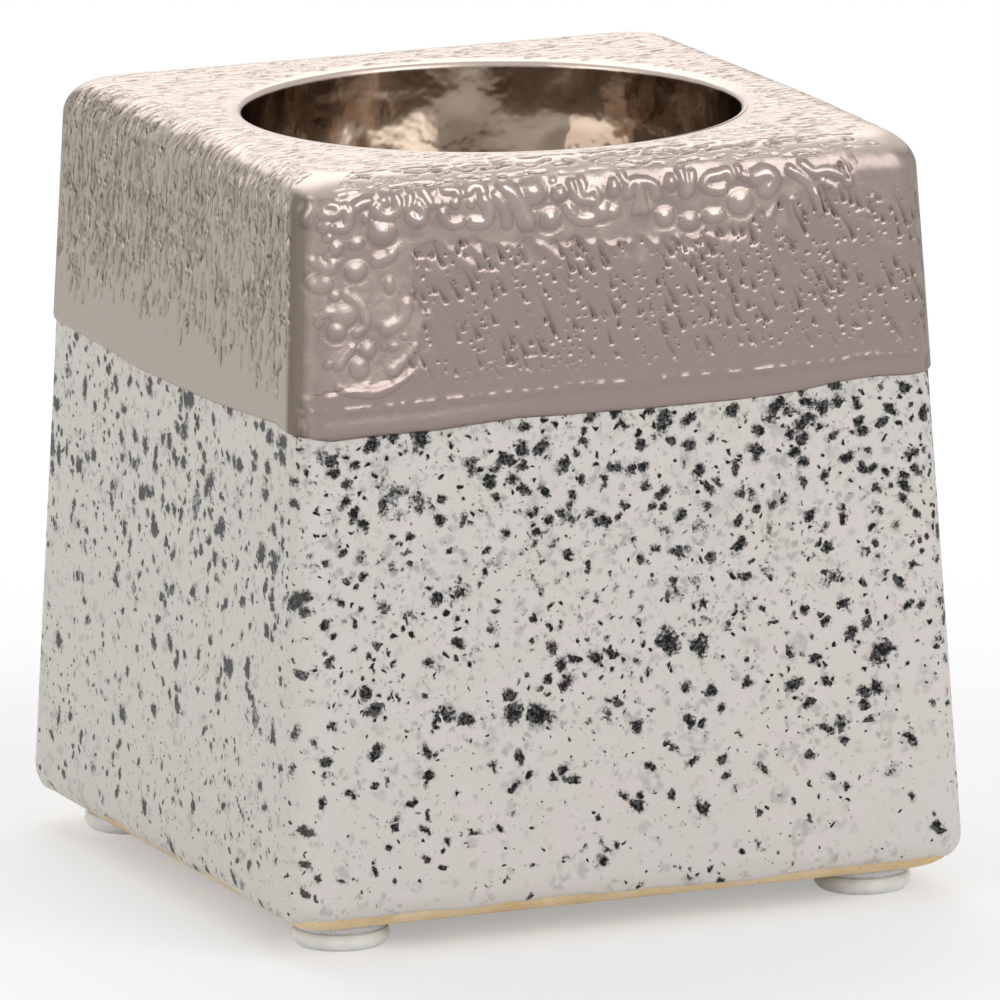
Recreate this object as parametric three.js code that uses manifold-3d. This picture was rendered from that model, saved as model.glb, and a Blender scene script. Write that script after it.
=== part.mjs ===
// Square ceramic candle holder, in millimetres, +Z up, standing on z = 0.
// Three fired clay pieces are luted together with slip: a tapering outer shell with a deck, a round
// candle cup let into the deck, and a slab that closes the underside. Three glaze coats lie on the clay,
// and a bumper foot is stuck under each corner. The front of the holder faces -Y.

import * as THREE from 'three';
import { mergeVertices } from 'three/addons/utils/BufferGeometryUtils.js';
import Module from 'manifold-3d';

// Candle well
const WELL_DIAMETER = 61.4;
const WELL_DEPTH = 50;
const WELL_DRAFT = 2.5;
const WELL_LIP_RADIUS = 0.8;
const WELL_FLOOR_FILLET = 4;
const WELL_FLOOR_HEIGHT = 42;
const WELL_FORWARD = 2;

// Clay
const CUP_WALL = 2.9;
const CUP_FLOOR = 4;
const CUP_EDGE_RADIUS = 4;
const SHELL_WALL = 3.3;
const DECK_THICKNESS = 5;
const SLAB_THICKNESS = 5;
const FOOT_LAND = 1.2;
const VENT_DIAMETER = 8;

// Outside form
const BASE_SPREAD = 4.5;
const CORNER_RADIUS = 4;
const TOP_EDGE_RADIUS = 4.6;
const BASE_EDGE_RADIUS = 4.5;

// Glaze coats
const GLAZE_THICKNESS = 0.6;
const COLLAR_THICKNESS = 1;
const LINING_THICKNESS = 0.5;
const COLLAR_DROP = 30;
const BARE_EDGE_HEIGHT = 1.7;

// Feet
const FOOT_DIAMETER = 12;
const FOOT_HEIGHT = 2.1;
const FOOT_EDGE_RADIUS = 1.3;
const DISC_DIAMETER = 11.2;
const DISC_THICKNESS = 1.1;
const FOOT_INSET = 10.5;

// Clearances: slip in a luted joint, the air between cup and shell, and the bond under a glaze coat
const LUTING_GAP = 0.3;
const CUP_AIR_GAP = 0.4;
const BOND_GAP = 0.05;

// The least radius of a corner that is drawn in
const LEAST_CORNER = 0.2;

// Facets of a corner, a rounded edge, a small rounding and a full turn
const CORNER_STEPS = 6;
const EDGE_STEPS = 6;
const LIP_STEPS = 5;
const TURN_STEPS = 64;

// Levels, from the floor up
const clayBottom = FOOT_HEIGHT + DISC_THICKNESS;
const wellFloor = clayBottom + WELL_FLOOR_HEIGHT;
const top = wellFloor + WELL_DEPTH;
const clayTop = top - COLLAR_THICKNESS - BOND_GAP;
const collarLine = top - COLLAR_DROP;

// The block is as wide at the top as the well and every wall round it need
const wellRadius = WELL_DIAMETER / 2;
const liningBack = LINING_THICKNESS + BOND_GAP;
const clayInset = GLAZE_THICKNESS + BOND_GAP;
const topHalf = wellRadius + WELL_FORWARD + liningBack + CUP_WALL + CUP_AIR_GAP + SHELL_WALL + clayInset;
const baseHalf = topHalf + BASE_SPREAD;
const taper = BASE_SPREAD / (top - clayBottom);
const lean = Math.atan(taper);
const wellSlope = Math.tan(THREE.MathUtils.degToRad(WELL_DRAFT));

const wasm = await Module();
wasm.setup();

function toSolid(geometry) {
  const bare = geometry.clone();
  bare.deleteAttribute('normal');
  bare.deleteAttribute('uv');
  const merged = mergeVertices(bare, 1e-4);
  const vertProperties = new Float32Array(merged.attributes.position.array);
  const triVerts = new Uint32Array(merged.index.array);
  return new wasm.Manifold(new wasm.Mesh({ numProp: 3, vertProperties, triVerts }));
}

function toGeometry(solid) {
  const mesh = solid.getMesh();
  const geometry = new THREE.BufferGeometry();
  geometry.setAttribute('position', new THREE.BufferAttribute(new Float32Array(mesh.vertProperties), 3));
  geometry.setIndex(new THREE.BufferAttribute(new Uint32Array(mesh.triVerts), 1));
  geometry.computeVertexNormals();
  return geometry;
}

// One level of a square form: a square of half width `half` with rounded corners, counterclockwise
function squareRing(half, radius, z) {
  const points = [];
  const round = Math.min(Math.max(radius, LEAST_CORNER), half);
  for (let corner = 0; corner < 4; corner += 1) {
    const middle = new THREE.Vector2(half - round, half - round).rotateAround(new THREE.Vector2(), corner * Math.PI / 2);
    for (let step = 0; step <= CORNER_STEPS; step += 1) {
      const angle = (corner + step / CORNER_STEPS) * Math.PI / 2;
      points.push(new THREE.Vector3(middle.x + round * Math.cos(angle), middle.y + round * Math.sin(angle), z));
    }
  }
  return points;
}

// A closed form through a stack of levels, with a flat cap at each end
function stack(rings) {
  const count = rings[0].length;
  const points = rings.flat();
  const faces = [];
  for (let level = 0; level + 1 < rings.length; level += 1) {
    for (let k = 0; k < count; k += 1) {
      const a = level * count + k;
      const b = level * count + (k + 1) % count;
      faces.push(a, b, b + count, a, b + count, a + count);
    }
  }
  const last = (rings.length - 1) * count;
  for (let k = 1; k + 1 < count; k += 1) {
    faces.push(0, k + 1, k);
    faces.push(last, last + k, last + k + 1);
  }
  const geometry = new THREE.BufferGeometry().setFromPoints(points);
  geometry.setIndex(faces);
  return geometry;
}

// Half width of the block's flat wall at height z, `inset` inside the glazed face
function wallHalf(z, inset) {
  return baseHalf - taper * (z - clayBottom) - inset / Math.cos(lean);
}

// Levels of a rounded edge that rolls from the wall onto a flat top or underside. `flat` is that face's
// height and `side` is +1 at the top or -1 underneath.
function edgeRings(flat, side, radius, inset) {
  const centreZ = flat - side * radius;
  const tangentZ = centreZ + radius * Math.sin(lean);
  const centreHalf = wallHalf(tangentZ, inset) - radius * Math.cos(lean);
  const rings = [];
  for (let step = 0; step <= EDGE_STEPS; step += 1) {
    const angle = THREE.MathUtils.lerp(lean, side * Math.PI / 2, step / EDGE_STEPS);
    const half = centreHalf + radius * Math.cos(angle);
    rings.push(squareRing(half, CORNER_RADIUS - inset, centreZ + radius * Math.sin(angle)));
  }
  return side > 0 ? rings : rings.reverse();
}

// The whole clay outside, grown by `gap`, as one filled block
function clayBlock(gap) {
  const inset = clayInset - gap;
  const baseRadius = BASE_EDGE_RADIUS - inset;
  const topRadius = TOP_EDGE_RADIUS - COLLAR_THICKNESS - BOND_GAP + gap;
  return toSolid(stack([
    ...edgeRings(clayBottom, -1, baseRadius, inset),
    ...edgeRings(clayTop + gap, 1, topRadius, inset),
  ]));
}

// A round form about the well's own axis, from a half section of [radius, height] points
function turned(section) {
  const profile = section.map(([radius, z]) => new THREE.Vector2(radius, z));
  const geometry = new THREE.LatheGeometry(profile, TURN_STEPS);
  geometry.rotateX(Math.PI / 2);
  geometry.translate(0, -WELL_FORWARD, 0);
  return geometry;
}

// Points of a quarter round in a half section, from one angle to another in degrees
function arc(centreRadius, centreZ, radius, from, to) {
  const points = [];
  for (let step = 0; step <= LIP_STEPS; step += 1) {
    const angle = THREE.MathUtils.degToRad(THREE.MathUtils.lerp(from, to, step / LIP_STEPS));
    points.push([centreRadius + radius * Math.cos(angle), centreZ + radius * Math.sin(angle)]);
  }
  return points;
}

// The well's surface from its lip down to the middle of its floor, `back` behind the finished face
function wellSection(back, lipTop) {
  const lip = WELL_LIP_RADIUS - back;
  const fillet = WELL_FLOOR_FILLET + back;
  const floor = wellFloor - back;
  const mouth = wellRadius + back;
  const foot = mouth - wellSlope * (lipTop - lip - floor - fillet);
  return [
    ...arc(mouth + lip, lipTop - lip, lip, 90, 180),
    ...arc(foot - fillet, floor + fillet, fillet, 0, -90),
    [0, floor],
  ];
}

// Outside of the cup: the well's own taper, moved out by the clay's thickness
const cupMouth = wellRadius + liningBack + CUP_WALL;
const cupUnder = wellFloor - liningBack - CUP_FLOOR;
function cupOutside(z, gap) {
  return cupMouth + gap - wellSlope * (top - z);
}

// The well's lip ends where the collar begins, at this radius
const lipEdge = wellRadius + WELL_LIP_RADIUS;

// A straight round cutter that passes right through what it cuts
function roundCutter(radius, low, high) {
  return toSolid(turned([[0, low], [radius, low], [radius, high], [0, high]]));
}

const wallInset = clayInset + SHELL_WALL;
const innerCorner = CORNER_RADIUS - wallInset;
const slabHalf = wallHalf(clayBottom, 0) - BASE_EDGE_RADIUS - FOOT_LAND;
const slabTop = clayBottom + SLAB_THICKNESS;
const deckUnder = clayTop - DECK_THICKNESS;

// How far a cutter runs past what it cuts
const through = DECK_THICKNESS;

function buildShell() {
  const hollow = toSolid(stack([
    squareRing(slabHalf, innerCorner, clayBottom - through),
    squareRing(slabHalf, innerCorner, slabTop),
    squareRing(wallHalf(slabTop, wallInset), innerCorner, slabTop),
    squareRing(wallHalf(deckUnder, wallInset), innerCorner, deckUnder),
  ]));
  const seat = toSolid(turned([
    [0, deckUnder - through],
    [cupOutside(deckUnder - through, LUTING_GAP), deckUnder - through],
    [cupOutside(top + through, LUTING_GAP), top + through],
    [0, top + through],
  ]));
  return toGeometry(clayBlock(0).subtract(hollow).subtract(seat));
}

function buildCup() {
  const edgeLevel = cupUnder + CUP_EDGE_RADIUS;
  const body = toSolid(turned([
    [0, cupUnder],
    ...arc(cupOutside(edgeLevel, 0) - CUP_EDGE_RADIUS, edgeLevel, CUP_EDGE_RADIUS, -90, 0),
    [cupOutside(clayTop, 0), clayTop],
    ...wellSection(liningBack, clayTop),
  ]));
  return toGeometry(body.intersect(clayBlock(0)));
}

function buildSlab() {
  const half = slabHalf - LUTING_GAP;
  const corner = innerCorner - LUTING_GAP;
  const slab = toSolid(stack([
    squareRing(half, corner, clayBottom),
    squareRing(half, corner, slabTop),
  ]));
  const ventRadius = VENT_DIAMETER / 2;
  return toGeometry(slab.subtract(roundCutter(ventRadius, clayBottom - through, slabTop + through)));
}

function buildGlaze() {
  const edge = edgeRings(clayBottom, -1, BASE_EDGE_RADIUS, 0);
  const topEdge = collarLine - BOND_GAP;
  const coat = toSolid(stack([...edge, squareRing(wallHalf(topEdge, 0), CORNER_RADIUS, topEdge)]));
  const bare = new THREE.BoxGeometry(4 * baseHalf, 4 * baseHalf, 2 * BARE_EDGE_HEIGHT);
  bare.translate(0, 0, clayBottom);
  return toGeometry(coat.subtract(toSolid(bare)).subtract(clayBlock(BOND_GAP)));
}

// The collar stands proud of the speckled glaze, and its lower edge is drawn round by the melt
function buildCollar() {
  const proud = COLLAR_THICKNESS - GLAZE_THICKNESS;
  const lip = [];
  for (let step = 0; step <= LIP_STEPS; step += 1) {
    const angle = step / LIP_STEPS * Math.PI / 2;
    const z = collarLine + COLLAR_THICKNESS * (1 - Math.cos(angle));
    const inset = COLLAR_THICKNESS * (1 - Math.sin(angle)) - proud;
    lip.push(squareRing(wallHalf(z, inset), CORNER_RADIUS - inset, z));
  }
  const coat = toSolid(stack([...lip, ...edgeRings(top, 1, TOP_EDGE_RADIUS, -proud)]));
  const mouth = roundCutter(lipEdge, collarLine, top + through);
  return toGeometry(coat.subtract(clayBlock(BOND_GAP)).subtract(mouth));
}

// The lining's back follows the cup, and its upper edge meets the collar round the lip
function buildLining() {
  const back = wellSection(LINING_THICKNESS, clayTop + BOND_GAP).reverse();
  const face = wellSection(0, top);
  const edge = lipEdge - BOND_GAP;
  back[back.length - 1] = [edge, clayTop + BOND_GAP];
  face[0] = [edge, top];
  return turned([...back, ...face]);
}

function buildFoot() {
  const radius = FOOT_DIAMETER / 2;
  const profile = [
    [0, 0],
    ...arc(radius - FOOT_EDGE_RADIUS, FOOT_EDGE_RADIUS, FOOT_EDGE_RADIUS, -90, 0),
    [radius, FOOT_HEIGHT],
    [0, FOOT_HEIGHT],
  ].map(([r, z]) => new THREE.Vector2(r, z));
  return new THREE.LatheGeometry(profile, TURN_STEPS / 2).rotateX(Math.PI / 2);
}

function buildDisc() {
  const radius = DISC_DIAMETER / 2;
  const geometry = new THREE.CylinderGeometry(radius, radius, DISC_THICKNESS, TURN_STEPS / 2);
  return geometry.rotateX(Math.PI / 2);
}

const biscuit = new THREE.MeshStandardMaterial({ color: 0xd5b88a, roughness: 0.9, metalness: 0 });
const speckled = new THREE.MeshStandardMaterial({ color: 0xd8d0c8, roughness: 0.4, metalness: 0 });
const lustre = new THREE.MeshStandardMaterial({ color: 0xa89a90, roughness: 0.35, metalness: 0.8 });
const bronze = new THREE.MeshStandardMaterial({ color: 0x6b5c50, roughness: 0.2, metalness: 0.9 });
const clearRubber = new THREE.MeshStandardMaterial({ color: 0xd6d7d2, roughness: 0.5, metalness: 0 });
const adhesive = new THREE.MeshStandardMaterial({ color: 0xcdcbd4, roughness: 0.6, metalness: 0 });

function piece(name, geometry, material) {
  const mesh = new THREE.Mesh(geometry, material);
  mesh.name = name;
  return mesh;
}

const holder = new THREE.Group();
holder.add(piece('outer_shell', buildShell(), biscuit));
holder.add(piece('candle_cup', buildCup(), biscuit));
holder.add(piece('base_slab', buildSlab(), biscuit));
holder.add(piece('speckled_glaze', buildGlaze(), speckled));
holder.add(piece('lustre_collar', buildCollar(), lustre));
holder.add(piece('cup_lining', buildLining(), bronze));

const footReach = baseHalf - FOOT_INSET;
const corners = [
  ['front_left', -1, -1],
  ['front_right', 1, -1],
  ['back_left', -1, 1],
  ['back_right', 1, 1],
];
for (const [place, sideX, sideY] of corners) {
  const stand = new THREE.Group();
  stand.position.set(sideX * footReach, sideY * footReach, 0);
  const disc = piece(`adhesive_disc_${place}`, buildDisc(), adhesive);
  disc.position.z = FOOT_HEIGHT + DISC_THICKNESS / 2;
  stand.add(piece(`bumper_foot_${place}`, buildFoot(), clearRubber), disc);
  holder.add(stand);
}

export default holder;
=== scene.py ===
import math

import bpy
import numpy as np
from mathutils import Matrix, Vector
from mathutils.geometry import delaunay_2d_cdt


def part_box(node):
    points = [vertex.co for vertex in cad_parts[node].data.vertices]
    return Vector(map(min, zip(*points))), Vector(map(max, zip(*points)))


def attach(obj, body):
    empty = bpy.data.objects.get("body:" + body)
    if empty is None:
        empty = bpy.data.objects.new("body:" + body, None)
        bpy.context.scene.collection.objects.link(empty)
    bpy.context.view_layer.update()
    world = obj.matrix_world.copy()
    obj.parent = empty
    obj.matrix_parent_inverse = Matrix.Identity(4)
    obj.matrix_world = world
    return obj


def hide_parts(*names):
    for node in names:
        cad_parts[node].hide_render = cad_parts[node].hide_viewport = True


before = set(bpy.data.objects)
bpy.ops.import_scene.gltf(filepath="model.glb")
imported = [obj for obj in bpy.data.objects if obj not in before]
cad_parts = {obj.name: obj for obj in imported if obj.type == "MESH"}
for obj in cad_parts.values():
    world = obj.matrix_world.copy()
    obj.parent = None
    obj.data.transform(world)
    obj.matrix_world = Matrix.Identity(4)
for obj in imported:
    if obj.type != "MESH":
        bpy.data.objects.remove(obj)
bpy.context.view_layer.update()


# Clay body: a slip-cast outer shell, the candle cup let into its deck and the slab under it, all of buff
# stoneware, luted together and fired. Bare clay shows as a thin line round the foot and on the underside.
BUFF_CLAY = (0.70, 0.52, 0.29, 1.0)
PALE_CLAY = (0.80, 0.64, 0.41, 1.0)
GROG_CLAY = (0.42, 0.27, 0.12, 1.0)
METRE = 1000.0
MILLIMETRES = (METRE, METRE, METRE)


class Flow:
    """A value in a node tree. Sums of flows add Math nodes, and node() adds any other node."""

    def __init__(self, tree, socket=None):
        self.tree = tree
        self.socket = socket

    def node(self, kind, settings=None, sockets=None, output=0):
        made = self.tree.nodes.new(kind)
        for name, value in (settings or {}).items():
            setattr(made, name, value)
        for name, value in (sockets or {}).items():
            if isinstance(value, Flow):
                self.tree.links.new(value.socket, made.inputs[name])
            else:
                made.inputs[name].default_value = value
        return Flow(self.tree, made.outputs[output] if len(made.outputs) else None)

    def maths(self, operation, first, second=0.0):
        return self.node("ShaderNodeMath", {"operation": operation}, {0: first, 1: second})

    def __add__(self, other):
        return self.maths("ADD", self, other)

    def __sub__(self, other):
        return self.maths("SUBTRACT", self, other)

    def __mul__(self, other):
        return self.maths("MULTIPLY", self, other)

    def __truediv__(self, other):
        return self.maths("DIVIDE", self, other)

    def __pow__(self, other):
        return self.maths("POWER", self, other)

    def __radd__(self, other):
        return self.maths("ADD", other, self)

    def __rsub__(self, other):
        return self.maths("SUBTRACT", other, self)

    def __rmul__(self, other):
        return self.maths("MULTIPLY", other, self)

    def __neg__(self):
        return self.maths("SUBTRACT", 0.0, self)

    def least(self, other):
        return self.maths("MINIMUM", self, other)

    def most(self, other):
        return self.maths("MAXIMUM", self, other)

    def step(self, low, high):
        """0 below low and 1 above high, with a smooth rise between. low may be the higher of the two."""
        if low > high:
            return 1.0 - self.step(high, low)
        settings = {"interpolation_type": "SMOOTHSTEP"}
        return self.node("ShaderNodeMapRange", settings, {0: self, 1: low, 2: high})

    def bell(self, middle, width):
        """1 where the value is at the middle, falling to 0 a few widths away."""
        off = (self - middle) / width
        return self.maths("EXPONENT", -(off * off))

    def mix(self, first, second):
        """The first colour where this value is 0 and the second where it is 1."""
        return self.node("ShaderNodeMix", {"data_type": "RGBA"}, {0: self, 6: first, 7: second}, 2)

    def vector(self, operation, second, output=0):
        return self.node("ShaderNodeVectorMath", {"operation": operation}, {0: self, 1: second}, output)

    def stretch(self, scale):
        return self.vector("MULTIPLY", scale)

    def shift(self, offset):
        return self.vector("ADD", offset)

    def noise(self, scale=1.0, detail=0.0, roughness=0.5, output=0):
        sockets = {"Vector": self, "Scale": scale, "Detail": detail, "Roughness": roughness}
        return self.node("ShaderNodeTexNoise", None, sockets, output)

    def cells(self, scale, randomness=1.0):
        sockets = {"Vector": self, "Scale": scale, "Randomness": randomness}
        return self.node("ShaderNodeTexVoronoi", None, sockets)

    def axis(self, number):
        return self.node("ShaderNodeSeparateXYZ", None, {0: self}, number)

    def other(self, output):
        """Another output of the node that this value comes from."""
        return Flow(self.tree, self.socket.node.outputs[output])

    def bump(self, strength, depth):
        """A bumpy normal with this value as its height, and a depth in millimetres."""
        sockets = {"Strength": strength, "Distance": depth / METRE, "Height": self}
        return self.node("ShaderNodeBump", None, sockets)


def finish(name):
    """A new material, the place on its piece in millimetres and its Principled shader."""
    material = bpy.data.materials.new(name)
    material.use_nodes = True
    place = Flow(material.node_tree).node("ShaderNodeTexCoord", None, None, "Object").stretch(MILLIMETRES)
    return material, place, material.node_tree.nodes["Principled BSDF"]


def feed(shader, **sockets):
    """Sets or links sockets of a shader, with _ for the blanks in their names."""
    for name, value in sockets.items():
        socket = shader.inputs[name.replace("_", " ")]
        if isinstance(value, Flow):
            value.tree.links.new(value.socket, socket)
        else:
            socket.default_value = value


biscuit, place, shader = finish("fired buff clay")
cloud = place.noise(0.12, 3.0).step(0.35, 0.65)
grog = place.noise(2.6, 2.0).step(0.60, 0.72)
clay_tone = (grog * 0.55).mix(cloud.mix(BUFF_CLAY, PALE_CLAY), GROG_CLAY)
tooth = place.noise(3.2, 4.0, 0.65).bump(0.35, 0.2)
feed(shader, Base_Color=clay_tone, Roughness=0.78 + 0.15 * grog, Normal=tooth)
for node in ("outer_shell", "candle_cup", "base_slab"):
    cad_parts[node].data.materials.clear()
    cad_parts[node].data.materials.append(biscuit)


# Feet: four cloudy rubber bumpers under the corners, each a moulded disc with a rounded rim, held to the
# bare clay by a slightly smaller disc of pale adhesive. Bought by the sheet and stuck on by hand.
FOOT_RIM = 1.3
FOOT_DRAFT = 0.15
FOOT_EDGE_IN, FOOT_EDGE_DOWN = 0.4, 0.1
DISC_EDGE_IN, DISC_EDGE_DOWN = 0.2, 0.3
FOOT_STEPS = 64
RIM_STEPS = 8
HAND_SLIP = 0.2
HAND_SEED = 7
CREASE = 1.0
CLOUDY_RUBBER = (0.76, 0.765, 0.74, 1.0)
MILKY_RUBBER = (0.84, 0.845, 0.83, 1.0)
PALE_ADHESIVE = (0.60, 0.59, 0.64, 1.0)
WHITE_ADHESIVE = (0.70, 0.69, 0.72, 1.0)


def solid(name, points, faces, material, smooth=True):
    """A mesh piece from points in millimetres."""
    mesh = bpy.data.meshes.new(name)
    mesh.from_pydata(np.asarray(points, dtype=float) / METRE, [], faces)
    mesh.materials.append(material)
    mesh.polygons.foreach_set("use_smooth", np.full(len(mesh.polygons), smooth))
    mesh.update()
    mesh.set_sharp_from_angle(angle=CREASE)
    piece = bpy.data.objects.new(name, mesh)
    bpy.context.scene.collection.objects.link(piece)
    return piece


def turned(profile, steps, centre=(0.0, 0.0)):
    """Points and faces of a closed turned form. The profile starts and ends on the axis, and its outside
    lies to the right of its course."""
    around = np.linspace(0.0, math.tau, steps, endpoint=False)
    middle = profile[1:-1]
    rings = [np.stack([r * np.cos(around) + centre[0], r * np.sin(around) + centre[1],
                       np.full(steps, z)], axis=1) for r, z in middle]
    ends = [(centre[0], centre[1], profile[0][1]), (centre[0], centre[1], profile[-1][1])]
    points = np.concatenate([np.concatenate(rings), ends])
    first = steps * len(middle)
    last_ring = steps * (len(middle) - 1)
    faces = []
    for a in range(steps):
        b = (a + 1) % steps
        faces.append((first, b, a))
        faces.append((first + 1, last_ring + a, last_ring + b))
        for ring in range(len(middle) - 1):
            low = ring * steps
            faces.append((low + a, low + b, low + steps + b, low + steps + a))
    return points, faces


def geometry_tree(name, sizes):
    """A Geometry Nodes tree with a geometry input and named sizes. Returns the tree and their flows."""
    tree = bpy.data.node_groups.new(name, "GeometryNodeTree")
    tree.interface.new_socket("Geometry", in_out="INPUT", socket_type="NodeSocketGeometry")
    tree.interface.new_socket("Geometry", in_out="OUTPUT", socket_type="NodeSocketGeometry")
    for size in sizes:
        tree.interface.new_socket(size, in_out="INPUT", socket_type="NodeSocketFloat")
    start = tree.nodes.new("NodeGroupInput")
    return tree, [Flow(tree, socket) for socket in start.outputs[:-1]]


def grown(piece, tree, geometry, sizes, material):
    """Ends the tree, runs it on the piece with these sizes, and keeps the result as its plain mesh."""
    whole = geometry.node("GeometryNodeRealizeInstances", None, {0: geometry})
    dressed = geometry.node("GeometryNodeSetMaterial", None, {0: whole, "Material": material})
    geometry.node("NodeGroupOutput", None, {0: dressed})
    modifier = piece.modifiers.new(tree.name, "NODES")
    modifier.node_group = tree
    for item in tree.interface.items_tree:
        if item.in_out == "INPUT" and item.name in sizes:
            modifier[item.identifier] = sizes[item.name]
    graph = bpy.context.evaluated_depsgraph_get()
    mesh = bpy.data.meshes.new_from_object(piece.evaluated_get(graph))
    piece.modifiers.remove(modifier)
    piece.data = mesh
    mesh.name = piece.name
    return piece


def four_up(name, profile, reach, material):
    """The turned form of the profile, repeated under the four corners with a hand's small slips."""
    points, faces = turned(profile, FOOT_STEPS)
    piece = solid(name, points, faces, material)
    tree, (form, spread, slip) = geometry_tree(name + " at the corners", ("Spread", "Slip"))
    corners = form.node("GeometryNodeMeshGrid", None, {0: spread, 1: spread, 2: 2, 3: 2})
    slips = form.node("FunctionNodeRandomValue", {"data_type": "FLOAT_VECTOR"},
                      {0: (-1.0, -1.0, 0.0), 1: (1.0, 1.0, 0.0), "Seed": HAND_SEED})
    sway = slips.node("ShaderNodeVectorMath", {"operation": "SCALE"}, {0: slips, "Scale": slip})
    stuck = form.node("GeometryNodeSetPosition", None, {0: corners, "Offset": sway})
    copies = form.node("GeometryNodeInstanceOnPoints", None, {0: stuck, 2: form})
    sizes = {"Spread": 2.0 * reach / METRE, "Slip": HAND_SLIP / METRE}
    return grown(piece, tree, copies, sizes, material)


corner_names = ("front_left", "front_right", "back_left", "back_right")
foot_low, foot_high = (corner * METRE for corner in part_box("bumper_foot_front_right"))
disc_low, disc_high = (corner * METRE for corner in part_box("adhesive_disc_front_right"))
foot_radius = (foot_high.x - foot_low.x) / 2
disc_radius = (disc_high.x - disc_low.x) / 2
foot_reach = (foot_high.x + foot_low.x) / 2

rubber, place, shader = finish("cloudy bumper rubber")
haze = place.noise(0.5, 3.0)
dimple = place.noise(0.9, 2.0).bump(0.2, 0.2)
feed(shader, Base_Color=haze.step(0.35, 0.65).mix(CLOUDY_RUBBER, MILKY_RUBBER),
     Roughness=0.28 + 0.2 * haze, Normal=dimple)
feed(shader, Subsurface_Weight=0.35, Subsurface_Radius=(0.003, 0.003, 0.0035), Subsurface_Scale=1.0)

adhesive, place, shader = finish("pale adhesive foam")
pores = place.noise(3.0, 3.0)
feed(shader, Base_Color=pores.step(0.35, 0.65).mix(PALE_ADHESIVE, WHITE_ADHESIVE),
     Roughness=0.6 + 0.2 * pores, Normal=pores.bump(0.4, 0.2))

rim = [(foot_radius - FOOT_RIM * (1 - math.sin(turn)), foot_low.z + FOOT_RIM * (1 - math.cos(turn)))
       for turn in np.linspace(0.0, math.pi / 2, RIM_STEPS)]
foot_profile = [(0.0, foot_low.z), *rim, (foot_radius - FOOT_DRAFT, foot_high.z - FOOT_EDGE_DOWN),
                (foot_radius - FOOT_EDGE_IN, foot_high.z), (0.0, foot_high.z)]
feet = four_up("bumper_feet", foot_profile, foot_reach, rubber)
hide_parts(*(f"bumper_foot_{corner}" for corner in corner_names))
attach(feet, "root")

disc_flat = disc_radius - DISC_EDGE_IN
disc_profile = [(0.0, disc_low.z), (disc_flat, disc_low.z), (disc_radius, disc_low.z + DISC_EDGE_DOWN),
                (disc_radius, disc_high.z - DISC_EDGE_DOWN), (disc_flat, disc_high.z), (0.0, disc_high.z)]
discs = four_up("adhesive_discs", disc_profile, foot_reach, adhesive)
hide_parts(*(f"adhesive_disc_{corner}" for corner in corner_names))
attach(discs, "root")


# Speckled glaze: a satin cream glaze poured over the lower two thirds of the shell, with blue-black flecks
# of ground mineral melted into it. It was wiped off the foot, which leaves a wavy line of bare clay.
SIDES = 4
BASE_HALF = 45.0
LEAN = 4.5 / 92.0
CORNER_RADIUS = 4.0
FOOT_EDGE = 4.5
GLAZE_THICKNESS = 0.6
GLAZE_UNDER_COLLAR = 1.8
GLAZE_FLATS = 44
GLAZE_BENDS = 12
GLAZE_FOOT_ROWS = 9
GLAZE_WALL_ROWS = 24
GLAZE_LIP = 0.35
GLAZE_INNER_FOOT = 1.0
GLAZE_LIP_RINGS = ((0.0, 0.32), (0.12, 0.1))
WIPES = ((5, 0.6, 0.14), (11, 2.1, 0.112), (23, 4.0, 0.084), (41, 0.0, 0.056))
WIPED_ROWS = 4
GRAIN_STRETCH = 0.74
TO_MIDDLE = (-0.5, -0.5, -0.5)
STIR = (1.1, 1.1, 1.1)
# Grains: the cell, the share of cells that hold one, the part of that share left at the foot, the least and
# the greatest half size, the softness of the edge, and the fineness and strength of the lumps.
LARGE_GRAINS = (4.4, 0.62, 0.28, 0.65, 1.50, 0.20, 1.8, 1.4)
MIDDLE_GRAINS = (2.3, 0.86, 0.40, 0.34, 0.95, 0.26, 2.8, 1.3)
SMALL_GRAINS = (1.35, 0.58, 0.85, 0.13, 0.36, 0.35, 3.6, 1.0)
DUST_GRAINS = (0.95, 0.45, 0.60, 0.08, 0.17, 0.5, 6.0, 0.8)
SUNK_GRAINS = (1.15, 0.90, 0.95, 0.16, 0.55, 0.45, 3.2, 1.2)
CREAM = (0.607, 0.575, 0.552, 1.0)
ROSY_CREAM = (0.645, 0.588, 0.568, 1.0)
YELLOW_CREAM = (0.612, 0.585, 0.527, 1.0)
GREY_CREAM = (0.34, 0.335, 0.33, 1.0)
BLUE_BLACK = (0.002, 0.002, 0.003, 1.0)
INK_GREY = (0.010, 0.009, 0.010, 1.0)
TEAL_GREY = (0.092, 0.094, 0.092, 1.0)
PALE_TEAL = (0.27, 0.29, 0.285, 1.0)
clay_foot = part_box("outer_shell")[0].z * METRE
bare_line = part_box("speckled_glaze")[0].z * METRE
collar_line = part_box("lustre_collar")[0].z * METRE
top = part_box("lustre_collar")[1].z * METRE


def wall_half(height):
    return BASE_HALF - LEAN * (height - clay_foot)


def plan(half, radius, flats, bends):
    """Points of a rounded square, from the front's left end anticlockwise."""
    turn = np.linspace(0.0, math.pi / 2, bends, endpoint=False)
    run = np.linspace(-1.0, 1.0, flats, endpoint=False) * (half - radius)
    side = np.concatenate([np.stack([run, np.full(flats, -half)], 1),
                           np.stack([half - radius + radius * np.sin(turn),
                                     radius - half - radius * np.cos(turn)], 1)])
    quarter = np.array([(0.0, 1.0), (-1.0, 0.0)])
    turns = [np.linalg.matrix_power(quarter, number) for number in range(SIDES)]
    return np.concatenate([side @ to_side for to_side in turns])


def ripples(angle, waves):
    """A wavy line round a piece: waves of so many turns, with a start and a size."""
    return sum(size * np.sin(turns * angle + start) for turns, start, size in waves)


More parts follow.
